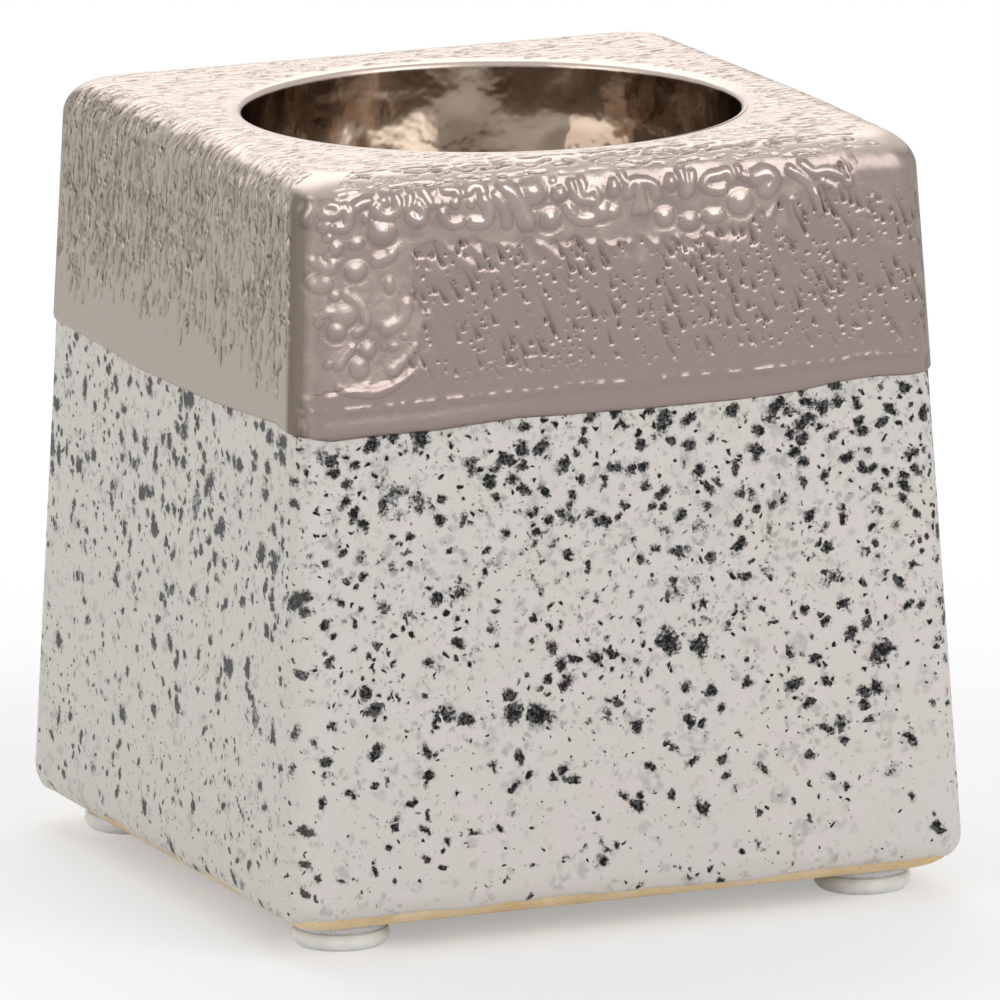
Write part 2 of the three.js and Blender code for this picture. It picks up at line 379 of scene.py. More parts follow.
def glaze_ring(height, inset, lift=0.0):
    """One ring of the glaze at a height, with its foot edge rounded. lift raises it by a wave."""
    low = max(0.0, FOOT_EDGE - (height - clay_foot))
    tuck = FOOT_EDGE - math.sqrt(max(0.0, FOOT_EDGE ** 2 - low ** 2))
    points = plan(wall_half(height) - tuck - inset, CORNER_RADIUS - inset, GLAZE_FLATS, GLAZE_BENDS)
    return np.column_stack([points, np.full(len(points), height) + lift])


ring_size = SIDES * (GLAZE_FLATS + GLAZE_BENDS)
wipe = ripples(np.linspace(0.0, math.tau, ring_size, endpoint=False), WIPES)
glaze_top = collar_line + GLAZE_UNDER_COLLAR
edge_top = clay_foot + FOOT_EDGE
rings = [glaze_ring(bare_line + rise, inset, wipe) for rise, inset in GLAZE_LIP_RINGS]
for number, level in enumerate(np.linspace(bare_line + GLAZE_LIP, edge_top, GLAZE_FOOT_ROWS)):
    rings.append(glaze_ring(level, 0.0, wipe * max(0.0, 1 - number / WIPED_ROWS)))
rings += [glaze_ring(level, 0.0) for level in np.linspace(edge_top, glaze_top, GLAZE_WALL_ROWS)[1:]]
rings += [glaze_ring(level, GLAZE_THICKNESS) for level in (glaze_top, edge_top)]
rings.append(glaze_ring(bare_line + GLAZE_INNER_FOOT, GLAZE_THICKNESS))
rings.append(glaze_ring(bare_line, GLAZE_THICKNESS, wipe))
glaze_faces = []
for ring in range(len(rings)):
    here = ring * ring_size
    above = (ring + 1) % len(rings) * ring_size
    for step in range(ring_size):
        beside = (step + 1) % ring_size
        glaze_faces.append((here + step, here + beside, above + beside, above + step))

speckled, place, shader = finish("speckled cream glaze")
height = place.axis(2)
thick_top = height.step(38.0, 60.0)
left_side = place.axis(0).step(-40.5, -42.0)
thin_foot = height.step(9.0, 33.0).most(left_side * 0.8)
growth = 0.7 + 0.3 * thin_foot + 0.15 * thick_top - 0.12 * left_side
stirred = place.shift(place.noise(0.9, 1.0, 0.5, 1).shift(TO_MIDDLE).stretch(STIR))


def flecks(cell, share, at_foot, small, large, edge, lumps, lumpy):
    """Mineral grains, one at most in a cell: 1 inside, how far out a point lies, and their random draws."""
    apart = stirred.cells(1.0 / cell)
    seat = apart.other("Position")
    lot = apart.other("Color")
    draw = seat.node("ShaderNodeTexWhiteNoise", {"noise_dimensions": "3D"}, {"Vector": seat}, "Color")
    off = stirred.vector("SUBTRACT", seat)
    course = draw.shift(TO_MIDDLE).vector("NORMALIZE", (0.0, 0.0, 0.0))
    run = off.vector("DOT_PRODUCT", course, "Value")
    span = (off.vector("DOT_PRODUCT", off, "Value") - GRAIN_STRETCH * run * run) ** 0.5
    size = (small + (large - small) * lot.axis(1) ** 1.6) * growth
    reach = span / size + (place.noise(lumps, 2.0, 0.6) - 0.40) * lumpy
    kept = (lot.axis(0) - share * (at_foot + (1 - at_foot) * thin_foot)).step(0.001, -0.001)
    return reach.step(1.0 + edge, 1.0 - edge) * kept, reach, draw


large_flecks, large_reach, large_draw = flecks(*LARGE_GRAINS)
middle_flecks, middle_reach, _ = flecks(*MIDDLE_GRAINS)
small_flecks, _, _ = flecks(*SMALL_GRAINS)
dust, _, _ = flecks(*DUST_GRAINS)
sunk, _, _ = flecks(*SUNK_GRAINS)
milk = place.noise(0.2, 2.0).step(0.35, 0.65)
ground = (milk * (1.0 - left_side)).mix(YELLOW_CREAM, ROSY_CREAM)
ground = (place.noise(0.07, 2.0).step(0.3, 0.7) * 0.5).mix(ground, CREAM)
halo = (large_reach.step(1.6, 0.9) * 0.6).most(middle_reach.step(1.8, 0.9) * 0.5)
ground = (halo * place.noise(0.8, 2.0).step(0.35, 0.65)).mix(ground, GREY_CREAM)
clusters = place.shift((5.0, 8.0, 2.0)).noise(0.35, 2.0).step(0.38, 0.58)
ground = (sunk * clusters * 0.75).mix(ground, GREY_CREAM)
crumbs = place.noise(2.3, 1.0, 0.5).step(0.46, 0.60)
mineral = place.noise(1.6, 2.0).step(0.4, 0.7).mix(BLUE_BLACK, INK_GREY)
mineral = (left_side * 0.45).mix(mineral, TEAL_GREY)
cores = large_flecks.most(middle_flecks * middle_reach.step(1.0, 0.7))
mineral = (crumbs * cores * 0.75).mix(mineral, TEAL_GREY)
eye = large_flecks * large_draw.axis(2).step(0.95, 0.97) * large_reach.step(0.86, 0.74)
mineral = (eye * place.noise(1.1, 1.0).step(0.62, 0.50)).mix(mineral, PALE_TEAL)
marks = large_flecks.most(middle_flecks).most(small_flecks).most(dust * 0.75)
peel = (place.noise(0.55, 2.0) - 0.15 * marks).bump(0.12, 0.4)
feed(shader, Base_Color=marks.mix(ground, mineral), Normal=peel, Specular_IOR_Level=0.15,
     Roughness=0.50 - 0.1 * marks + 0.06 * crumbs)

glaze = solid("speckled_glaze_coat", np.concatenate(rings), glaze_faces, speckled)
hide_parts("speckled_glaze")
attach(glaze, "root")


# Lustre collar: a thick crawling glaze over the upper third of the walls and the deck, fired again with a
# taupe metal lustre. It drew up into worms and drops, and ran smooth where it pooled on the front face.
COLLAR_THICKNESS = 1.0
COLLAR_PROUD = 0.4
TOP_EDGE = 4.6
COLLAR_CORNER = CORNER_RADIUS + COLLAR_PROUD
WELL_MIDDLE = np.array((0.0, -2.0))
MOUTH_RADIUS = 31.5
FRONT_SPACING = 0.25
SIDE_SPACING = 0.36
SIDE_ROW = 0.72
LIP_ROWS = 7
CORNER_BENDS = 12
NEAR_BENDS = 26
DECK_SPACING = 0.36
MOUTH_STEPS = 480
HAIR = 1e-6
MOUTH_ROLL = 0.25
ROLL_WIDTH = 2.4
SLUMP = 0.8
SLUMP_MIDDLE = (44.0, -44.0)
SLUMP_REACH = 15.0
SLUMP_FROM = 78.0
WORM_SPREAD = 1.4
WORM_ROUND = 1.6
WORM_FULL = 0.75
DROP_ROUND = 2.2
MOAT_FROM = 0.8
MOAT_OUT = 1.12
MOAT_WIDTH = 0.1
WORM_TOP = 28.8
WEAVE_FADE = 1.6
BACK_WEAVE_FADE = 1.2
BACK_APART = 300.0
CORNER_WEAVE_FADE = 3.0
FRONT_FACING = (0.55, 0.90)
DECK_FACING = 0.60
DECK_FACING_FRONT = 0.46
DECK_BLEND = 0.2
DECK_CLEAR = 0.7 * DECK_SPACING

# How far the lower edge hangs off a level line, by the way round: 0 is the front's left end, 1 the right
# face's front end, and so on. The flat takes its share of each face, and the dip fades out upwards.
FLAT_SHARE = 0.94
DIP_FADE = 5.0
COLLAR_DIPS = ((0.00, -1.85), (0.06, -1.70), (0.17, -1.68), (0.24, -1.35), (0.30, -1.10), (0.37, -1.28),
               (0.53, -1.42), (0.65, -1.40), (0.72, -1.28), (0.77, -0.98), (0.83, -0.35), (0.89, -0.12),
               (0.95, -0.35), (1.40, -0.80), (1.95, -1.20), (2.45, -0.70), (2.90, -1.00), (3.02, -1.05),
               (3.18, -1.37), (3.34, -2.00), (3.50, -1.90), (3.66, -1.65), (3.82, -0.95), (3.90, -0.65),
               (3.95, -1.20))

# Where the glaze stands in worms (half width, then points) and drops (half sizes, then the middle) on the
# front face, and where its pooled panel ends: millimetres to the right of the middle and up from the edge.
WORMS = (
    (0.57, (-39.0, 28.0), (-39.0, 27.3), (-39.6, 26.5), (-39.9, 25.6)),
    (0.51, (-38.4, 27.1), (-37.9, 27.6), (-37.1, 27.7), (-36.4, 27.5), (-36.1, 26.9), (-36.5, 26.4),
     (-37.4, 26.3), (-38.0, 26.5), (-38.4, 27.1)),
    (0.57, (-35.3, 27.2), (-34.8, 26.2), (-34.9, 25.3), (-35.5, 24.6), (-36.5, 24.8)),
    (0.51, (-35.9, 28.8), (-34.9, 29.0)), (0.44, (-34.1, 29.1), (-33.5, 29.0)),
    (0.63, (-34.0, 27.1), (-33.2, 27.6), (-32.2, 27.7)), (0.38, (-31.0, 29.2), (-31.1, 28.2)),
    (0.63, (-31.3, 26.7), (-30.6, 25.8), (-29.5, 25.7), (-28.5, 26.3), (-28.4, 27.2), (-28.7, 28.0)),
    (0.44, (-27.5, 28.8), (-27.5, 28.2)), (0.57, (-26.9, 27.9), (-26.9, 27.2), (-27.2, 26.5)),
    (0.7, (-25.8, 26.6), (-25.3, 26.0), (-25.4, 25.1), (-26.0, 24.7), (-26.8, 25.3)),
    (0.63, (-25.1, 28.5), (-24.6, 27.5), (-24.3, 26.7)),
    (0.57, (-22.8, 25.5), (-22.3, 24.4), (-21.1, 23.9), (-20.5, 24.2)),
    (0.57, (-22.2, 28.3), (-20.8, 28.2), (-20.6, 27.6)),
    (0.7, (-31.4, 20.4), (-30.4, 20.6), (-29.6, 21.0)),
    (0.63, (-39.0, 20.9), (-38.3, 20.1), (-37.4, 19.9), (-37.2, 20.4)),
    (0.63, (-19.3, 27.9), (-18.5, 28.6), (-17.5, 28.3), (-17.4, 27.6)),
    (0.7, (-17.3, 26.5), (-16.7, 25.7), (-16.8, 24.5), (-17.5, 23.8), (-18.8, 24.0)),
    (0.57, (-15.8, 27.0), (-14.9, 26.0), (-14.5, 24.7), (-14.4, 23.5)),
    (0.89, (-14.6, 27.9), (-13.7, 27.3), (-12.9, 25.9), (-12.3, 24.6), (-11.8, 23.4)),
    (0.51, (-5.9, 27.7), (-5.7, 26.6), (-4.9, 25.6), (-3.8, 25.5)),
    (0.51, (-4.6, 28.0), (-4.3, 27.2), (-4.4, 26.2)),
    (0.44, (-3.9, 26.3), (-3.1, 26.8), (-2.5, 26.2), (-2.6, 25.5), (-3.3, 25.3)),
    (0.63, (-6.4, 24.7), (-5.6, 23.6), (-4.5, 23.1), (-3.4, 23.2)), (0.51, (-2.7, 26.0), (-2.6, 25.0)),
    (0.44, (0.7, 28.6), (1.1, 27.5)),
    (0.57, (1.4, 25.8), (1.7, 27.1), (2.7, 27.3), (4.4, 27.0), (5.2, 26.2), (5.3, 25.3)),
    (0.57, (2.7, 27.2), (3.0, 25.6), (3.4, 23.7)), (0.44, (2.6, 24.5), (2.4, 23.6)),
    (0.57, (8.5, 28.1), (8.8, 26.6), (8.8, 25.2), (9.6, 25.5), (9.9, 27.6)),
    (0.57, (13.4, 27.3), (12.1, 27.2), (11.2, 26.2), (12.2, 25.6), (13.2, 25.3), (14.0, 25.5)),
    (0.51, (14.0, 27.5), (14.7, 27.6), (15.1, 26.6)), (0.44, (16.0, 27.9), (16.1, 27.2)),
    (0.57, (8.4, 17.9), (10.0, 17.9), (10.9, 18.5)),
    (0.95, (18.3, 26.6), (19.3, 27.1), (20.4, 26.6), (20.5, 25.8), (19.7, 25.1)),
    (0.57, (22.8, 27.3), (23.8, 26.7), (25.4, 25.6), (25.9, 24.5), (26.5, 21.9)),
    (0.57, (24.5, 27.9), (25.2, 27.2), (26.0, 26.6), (27.3, 26.9), (28.5, 26.8), (30.2, 26.0),
     (30.4, 25.2)), (0.51, (27.0, 25.5), (28.7, 24.5)),
    (0.76, (-30.4, 12.1), (-28.9, 12.7), (-28.1, 13.6), (-27.8, 14.8)),
    (0.57, (-36.8, 8.2), (-36.0, 9.3), (-35.1, 10.1)),
    (0.38, (-36.9, 5.5), (-34.8, 4.9), (-32.1, 4.6), (-29.9, 5.1), (-27.8, 6.3)),
    (0.51, (-26.8, 9.6), (-28.1, 8.1), (-29.9, 7.2)),
    (0.51, (-35.5, 16.7), (-34.3, 15.8), (-33.3, 14.6), (-33.0, 13.2), (-33.4, 12.3), (-34.3, 11.9)),
    (0.44, (-39.0, 14.3), (-38.0, 14.7), (-37.0, 14.6)),
)
DROPS = (
    (0.46, 0.62, -32.7, 25.7), (0.79, 0.88, -30.3, 27.6), (1.58, 1.38, -30.6, 23.9),
    (0.59, 0.62, -23.2, 26.7), (0.39, 0.5, -23.6, 28.1), (0.92, 0.62, -34.0, 22.7),
    (0.86, 0.75, -37.9, 25.1), (0.59, 0.5, -37.6, 23.7), (0.79, 0.75, -36.6, 22.3),
    (0.46, 0.44, -37.7, 21.5), (1.18, 1.0, -34.2, 19.4), (0.59, 0.88, -29.9, 17.4),
    (1.18, 1.0, -38.6, 18.2), (0.66, 0.56, -37.0, 16.6), (1.45, 1.25, -35.9, 14.3),
    (1.05, 1.0, -36.9, 12.4), (0.53, 0.5, -39.0, 13.4), (0.92, 0.88, -33.0, 9.7),
    (1.05, 1.12, -34.1, 7.7), (0.39, 0.44, -30.8, 9.9), (0.59, 0.5, -29.6, 9.8),
    (0.46, 0.44, -28.1, 11.0), (0.92, 0.69, -29.7, 7.1), (0.53, 0.5, -38.1, 8.4),
    (0.39, 0.38, -26.9, 16.3), (0.59, 0.62, -21.1, 26.6), (0.53, 0.62, -19.0, 26.4),
    (1.45, 1.38, -10.9, 27.1), (0.46, 0.44, -8.1, 28.3), (0.86, 0.88, -7.5, 26.6),
    (1.18, 1.06, -8.8, 23.6), (0.72, 1.0, -0.4, 26.7), (0.86, 0.69, -0.5, 23.8), (1.18, 1.0, -2.1, 24.0),
    (0.79, 0.88, 7.1, 26.8), (1.05, 1.0, 6.2, 22.7), (1.18, 0.88, 9.4, 21.8), (1.32, 0.81, 12.6, 22.3),
    (1.38, 1.25, 16.1, 23.7), (0.59, 0.62, 16.9, 26.8), (0.59, 0.56, 7.8, 19.8), (0.46, 0.38, 10.2, 19.8),
    (0.59, 0.56, 27.3, 25.3), (0.39, 0.38, 33.5, 23.0), (0.72, 0.62, 33.4, 21.2), (1.7, 1.2, -42.6, 1.9),
)
PANEL_TOP = ((-41.0, 20.8), (-27.5, 20.8), (-26.1, 21.9), (-23.6, 21.9), (-11.5, 21.1), (-5.5, 20.8),
             (9.5, 20.4), (16.1, 20.8), (19.8, 22.7), (24.0, 24.2), (27.0, 25.0), (31.0, 30.0),
             (33.0, 40.0))
PANEL_LEFT = ((4.5, -45.0), (5.4, -36.0), (5.9, -31.0), (7.0, -29.1), (8.1, -27.9), (9.6, -26.7),
              (11.0, -26.3), (14.9, -25.9), (18.3, -27.0), (20.8, -27.5), (40.0, -27.5))

lean_angle = math.atan(LEAN)
fillet_top = top - TOP_EDGE
lip_length = COLLAR_THICKNESS * math.pi / 2
wall_start = collar_line + COLLAR_THICKNESS
fillet_start = fillet_top + TOP_EDGE * math.sin(lean_angle)
wall_length = (fillet_start - wall_start) / math.cos(lean_angle)
fillet_turn = math.pi / 2 - lean_angle
fillet_length = TOP_EDGE * fillet_turn
skin_length = lip_length + wall_length + fillet_length
fillet_middle = wall_half(fillet_start) + COLLAR_PROUD - TOP_EDGE * math.cos(lean_angle)


def ramp(values, start, end):
    """0 before the start and 1 past the end, with an even rise between. The end may be the lower one."""
    return np.clip((values - start) / (end - start), 0.0, 1.0)


def skin(along):
    """Half width, height and upward tilt of the collar's outside, by the way up it from its lower edge."""
    turn = np.clip(along / COLLAR_THICKNESS, 0.0, math.pi / 2)
    climb = np.clip(along - lip_length, 0.0, wall_length) * math.cos(lean_angle)
    over = np.clip((along - lip_length - wall_length) / TOP_EDGE, 0.0, fillet_turn)
    tuck = COLLAR_THICKNESS * (1 - np.sin(turn))
    level = collar_line + COLLAR_THICKNESS * (1 - np.cos(turn)) + climb
    half = wall_half(level) + COLLAR_PROUD - tuck
    tilt = lean_angle - (math.pi / 2 - turn)
    on_fillet = along > lip_length + wall_length
    angle = lean_angle + over
    half = np.where(on_fillet, fillet_middle + TOP_EDGE * np.cos(angle), half)
    level = np.where(on_fillet, fillet_top + TOP_EDGE * np.sin(angle), level)
    tilt = np.where(on_fillet, angle, tilt)
    return half, level, tilt


def rows(spacing):
    lip = np.linspace(0.0, lip_length, LIP_ROWS)[:-1]
    wall = np.linspace(lip_length, lip_length + wall_length, int(wall_length / spacing) + 1)[:-1]
    bend = np.linspace(lip_length + wall_length, skin_length, int(fillet_length / spacing) + 2)
    return np.concatenate([lip, wall, bend])


def stitch(first, first_places, second, second_places):
    """Triangles between two rows of points, each with its places along the seam."""
    faces = []
    a = b = 0
    while a < len(first) - 1 or b < len(second) - 1:
        step_first = b == len(second) - 1
        if not step_first and a < len(first) - 1:
            step_first = first_places[a + 1] <= second_places[b + 1]
        if step_first:
            faces.append((first[a], second[b], first[a + 1]))
            a += 1
        else:
            faces.append((first[a], second[b], second[b + 1]))
            b += 1
    return faces


front_rows = rows(FRONT_SPACING)
side_rows = rows(SIDE_ROW)
flat_length = 2 * (wall_half((wall_start + top) / 2) - CORNER_RADIUS)
columns = []
for side in range(SIDES):
    spacing = FRONT_SPACING if side == 0 else SIDE_SPACING
    flats = int(flat_length / spacing)
    for step in range(flats + 1):
        columns.append((side, step / flats, 0.0, front_rows if side == 0 else side_rows))
    by_front = side in (0, 3)
    bends = NEAR_BENDS if by_front else CORNER_BENDS
    for step in range(1, bends):
        columns.append((side, 1.0, step / bends, front_rows if by_front else side_rows))

points, outward, column_ids = [], [], []
along_skin, across_skin, path_skin, weave_skin = [], [], [], []
dips = np.array(COLLAR_DIPS)
for side, run, bend, levels in columns:
    half, level, tilt = skin(levels)
    position = side + FLAT_SHARE * run + (1 - FLAT_SHARE) * bend
    hang = np.interp(position, *dips.T, period=SIDES)
    dip = hang * ramp(levels, lip_length + DIP_FADE, lip_length) ** 2
    level = level + dip
    half = half - LEAN * dip
    turn = bend * math.pi / 2
    aside = (2 * run - 1) * (half - COLLAR_CORNER) + COLLAR_CORNER * math.sin(turn)
    out = half - COLLAR_CORNER + COLLAR_CORNER * math.cos(turn)
    swing = side * math.pi / 2
    column_ids.append(len(along_skin) + np.arange(len(levels)))
    cos_swing, sin_swing = math.cos(swing), math.sin(swing)
    points.extend(zip(aside * cos_swing + out * sin_swing, aside * sin_swing - out * cos_swing, level))
    face_x, face_y = math.sin(turn), -math.cos(turn)
    facing = (face_x * cos_swing - face_y * sin_swing, face_x * sin_swing + face_y * cos_swing)
    outward.extend(zip(facing[0] * np.cos(tilt), facing[1] * np.cos(tilt), np.sin(tilt)))
    along_skin.extend(levels)
    placed = np.array(points[-len(levels):])
    if side == 0:
        across_skin.extend(levels - skin_length - fillet_middle)
        path_skin.extend(skin_length + fillet_middle - np.abs(placed[:, 0]))
        weave_skin.extend(ramp(levels, WORM_TOP, WORM_TOP + WEAVE_FADE) * (bend == 0))
    else:
        across_skin.extend(placed[:, side % 2] + BACK_APART * (side == 2))
        path_skin.extend(levels)
        fade = np.full(len(levels), max(0.0, 1 - CORNER_WEAVE_FADE * bend))
        if side == 2:
            fade = fade * ramp(levels, skin_length, skin_length - BACK_WEAVE_FADE)
        weave_skin.extend(fade)

collar_faces = []
for number, ids in enumerate(column_ids):
    beside = column_ids[(number + 1) % len(column_ids)]
    levels = columns[number][3]
    beside_levels = columns[(number + 1) % len(columns)][3]
    if len(ids) == len(beside):
        collar_faces.extend(zip(ids[:-1], beside[:-1], beside[1:], ids[1:]))
    else:
        collar_faces.extend(stitch(ids, levels, beside, beside_levels))

deck_edge = np.array([ids[-1] for ids in column_ids])
edge_points = np.array([points[i][:2] for i in deck_edge])
mouth_turn = np.linspace(0.0, math.tau, MOUTH_STEPS, endpoint=False)
mouth = WELL_MIDDLE + MOUTH_RADIUS * np.stack([np.cos(mouth_turn), np.sin(mouth_turn)], 1)
deck_half = np.abs(edge_points).max()
grid = np.arange(-deck_half, deck_half, DECK_SPACING)
grid_x, grid_y = np.meshgrid(grid, grid)
grid_x = grid_x + (np.arange(len(grid)) % 2)[:, None] * DECK_SPACING / 2
inner = np.stack([grid_x.ravel(), grid_y.ravel()], 1)
from_middle = np.hypot(*(inner - WELL_MIDDLE).T)
into_corner = np.maximum(np.abs(inner) - (deck_half - COLLAR_CORNER), 0.0)
in_plan = np.hypot(into_corner[:, 0], into_corner[:, 1]) < COLLAR_CORNER - DECK_CLEAR
inner = inner[in_plan & (from_middle > MOUTH_RADIUS + DECK_CLEAR)]
flat_points = [Vector(p) for p in np.concatenate([edge_points, mouth, inner])]
edge_count = len(edge_points)
loops = [(i, (i + 1) % edge_count) for i in range(edge_count)]
loops += [(edge_count + i, edge_count + (i + 1) % MOUTH_STEPS) for i in range(MOUTH_STEPS)]
_, _, deck_faces, origins, _, _ = delaunay_2d_cdt(flat_points, loops, [], 0, HAIR, True)
deck_base = len(points)
deck_ids = [deck_edge[o[0]] if o[0] < edge_count else deck_base + o[0] - edge_count for o in origins]
for face in deck_faces:
    if not all(edge_count <= origins[corner][0] < edge_count + MOUTH_STEPS for corner in face):
        collar_faces.append(tuple(deck_ids[corner] for corner in face))
deck_points = np.concatenate([mouth, inner])
to_mouth = np.hypot(*(deck_points - WELL_MIDDLE).T) - MOUTH_RADIUS
roll = MOUTH_ROLL * ramp(to_mouth, ROLL_WIDTH, 0.0) ** 2
points.extend(zip(*deck_points.T, top - roll))
outward.extend([(0.0, 0.0, 1.0)] * len(deck_points))
along_skin.extend([skin_length] * len(deck_points))
across_skin.extend(deck_points[:, 1])
path_skin.extend(skin_length + deck_half - np.abs(deck_points[:, 0]))
weave_skin.extend([1.0] * len(deck_points))

# The collar's hidden back lies on the clay, so it is a plain shell that closes the coat.
BACK_FLATS = 18
BACK_BENDS = 6
BACK_STEPS = SIDES * (BACK_FLATS + BACK_BENDS)
BACK_BEND_STOPS = (1.0, 0.65, 0.3, 0.0)
back_turn = np.linspace(0.0, math.tau, BACK_STEPS, endpoint=False)
back_mouth = WELL_MIDDLE + MOUTH_RADIUS * np.stack([np.cos(back_turn), np.sin(back_turn)], 1)
back_rings = [np.column_stack([back_mouth, np.full(BACK_STEPS, top - COLLAR_THICKNESS)])]
for stop in (*(lip_length + wall_length + part * fillet_length for part in BACK_BEND_STOPS), lip_length):
    half, level, tilt = (float(value) for value in skin(np.array(stop)))
    square = plan(half - COLLAR_THICKNESS * math.cos(tilt), COLLAR_CORNER - COLLAR_THICKNESS,
                  BACK_FLATS, BACK_BENDS)
    order = np.argsort(np.arctan2(square[:, 1], square[:, 0]) % math.tau)
    level = level - COLLAR_THICKNESS * math.sin(tilt)
    back_rings.append(np.column_stack([square[order], np.full(BACK_STEPS, level)]))
back_base = len(points)
back_ids = back_base + np.arange(len(back_rings) * BACK_STEPS).reshape(-1, BACK_STEPS)
points.extend(map(tuple, np.concatenate(back_rings)))
outward.extend([(0.0, 0.0, 0.0)] * back_ids.size)
for values in (along_skin, across_skin, path_skin, weave_skin):
    values.extend([0.0] * back_ids.size)
for low, high in zip(back_ids[:-1], back_ids[1:]):
    for step in range(BACK_STEPS):
        beside = (step + 1) % BACK_STEPS
        collar_faces.append((low[step], low[beside], high[beside], high[step]))


def ring_seam(ids, spots):
    """A ring's points in the order of their angle, closed, with those angles."""
    angles = np.arctan2(spots[:, 1], spots[:, 0]) % math.tau
    order = np.argsort(angles)
    ordered = np.append(np.asarray(ids)[order], np.asarray(ids)[order][0])
    return ordered, np.append(angles[order], angles[order][0] + math.tau)


points = np.array(points)
outward = np.array(outward)
from_slump = np.hypot(*(points[:, :2] - SLUMP_MIDDLE).T)
slump = SLUMP * np.exp(-from_slump ** 2 / (2 * SLUMP_REACH ** 2))
points[:, 2] -= slump * ramp(points[:, 2], SLUMP_FROM, top)
mouth_ids = deck_base + np.arange(MOUTH_STEPS)
collar_faces += stitch(*ring_seam(back_ids[0], points[back_ids[0], :2] - WELL_MIDDLE),
                       *ring_seam(mouth_ids, points[mouth_ids, :2] - WELL_MIDDLE))
lower_ids = np.array([ids[0] for ids in column_ids])
collar_faces += stitch(*ring_seam(lower_ids, points[lower_ids, :2]),
                       *ring_seam(back_ids[-1], points[back_ids[-1], :2]))


# Grooves and strokes: the half width, the cell's width and length, and the least and greatest half length.
LONG_GROOVES = (0.22, 1.7, 3.9, 1.2, 2.4)
MIDDLE_GROOVES = (0.18, 1.5, 3.0, 0.8, 1.8)
SHORT_GROOVES = (0.12, 1.0, 1.9, 0.5, 1.0)
LONG_STROKES = (0.24, 2.4, 6.0, 1.3, 3.0)
SHORT_STROKES = (0.2, 1.6, 3.2, 0.5, 1.4)
PINHOLES = (0.16, 1.0, 1.1, 0.14, 0.30)
CELL_JITTER = 0.75
RUN_SLANT = 0.44


def spread(across, down, wide, long):
    return across.node("ShaderNodeCombineXYZ", None, {0: across / wide, 1: down / long})


def in_cells(across, down, wide, long, shortest, longest):
    """The draws of the cell that a point is in, and how far it lies beside the cell's mark and along it."""
    grid = spread(across, down, wide, long)
    apart = grid.cells(1.0, CELL_JITTER)
    lot = apart.other("Color")
    off = grid.vector("SUBTRACT", apart.other("Position"))
    return lot, off.axis(0) * wide, off.axis(1) * long / (shortest + (longest - shortest) * lot.axis(1))


def hatch(across, path, share, thin, *cell):
    """Short grooves along the path, one at most in a cell, tapering to both ends: 1 in their middles."""
    lot, beside, fall = in_cells(across, path, *cell)
    slope = fall * (lot.axis(2) - 0.5) * 0.5
    line = (beside + slope).bell(0.0, thin * (0.7 + 0.6 * lot.axis(2)))
    return line * (1.0 - fall * fall).most(0.0) * (share - lot.axis(0)).step(0.0, 0.06)


def bark_grooves(across, path, share, spot):
    """The grooves that the glaze drew up between on the sides and the deck."""
    across = across + (spot.noise(0.3, 0.6) - 0.5) * 2.0
    return (hatch(across, path, share, *LONG_GROOVES)
            .most(hatch(across + 50.9, path + 31.7, share * 0.9, *MIDDLE_GROOVES))
            .most(hatch(across + 21.3, path + 11.9, share * 0.7, *SHORT_GROOVES) * 0.7))


def slanted(spot):
    """How far a place lies across and down the slant that the glaze ran along on the front."""
    right, up = spot.axis(0), spot.axis(2)
    across = right * math.cos(RUN_SLANT) + up * math.sin(RUN_SLANT) + (spot.noise(0.25, 1.0) - 0.5) * 1.4
    return across, right * math.sin(RUN_SLANT) - up * math.cos(RUN_SLANT)


def strokes(across, down, share, thin, *cell):
    """Short hollows down the slant, one at most in a cell: 1 at their lower ends, fading up from there."""
    lot, beside, fall = in_cells(across, down, *cell)
    deepening = (0.5 + 0.5 * fall).most(0.0).least(1.0)
    line = beside.bell(0.0, thin * (0.6 + 0.6 * deepening))
    kept = (lot.axis(0) - share).step(0.02, -0.02)
    return line * deepening * fall.step(1.15, 0.9) * kept


def run_marks(spot):
    """The marks on the pooled panel: long strokes, and the pinholes among them."""
    across, down = slanted(spot)
    busy = spot.shift((3.0, 0.0, 5.0)).noise(0.2, 1.0).step(0.36, 0.54)
    chained = spread(across, down, 1.7, 8.0).noise(1.0, 1.0).step(0.46, 0.58)
    up = spot.axis(2).step(69.0, 86.0)
    long_share = (0.4 + 0.55 * busy) * (0.5 + 0.5 * up)
    short_share = 0.12 + (0.3 + 0.45 * up) * busy
    return (strokes(across, down, long_share, *LONG_STROKES)
            .most(strokes(across + 40.7, down + 17.3, short_share, *SHORT_STROKES))
            .most(strokes(across, down, 0.06 + 0.62 * chained, *PINHOLES)))


MAUVE_LUSTRE = (0.302, 0.241, 0.222, 1.0)
UMBER_LUSTRE = (0.345, 0.29, 0.256, 1.0)
CREST_BREAK_AND_GLINT_LUSTRE = (0.60, 0.545, 0.53, 1.0)
OLIVE_LUSTRE = (0.395, 0.348, 0.293, 1.0)
PAINTED_SHEEN_LUSTRE = (0.485, 0.408, 0.362, 1.0)
PAINTED_SHADE_LUSTRE = (0.13, 0.10, 0.08, 1.0)
lustre, place, shader = finish("taupe metal lustre")


def laid_down(name, output="Fac"):
    return place.node("ShaderNodeAttribute", {"attribute_name": name}, None, output)


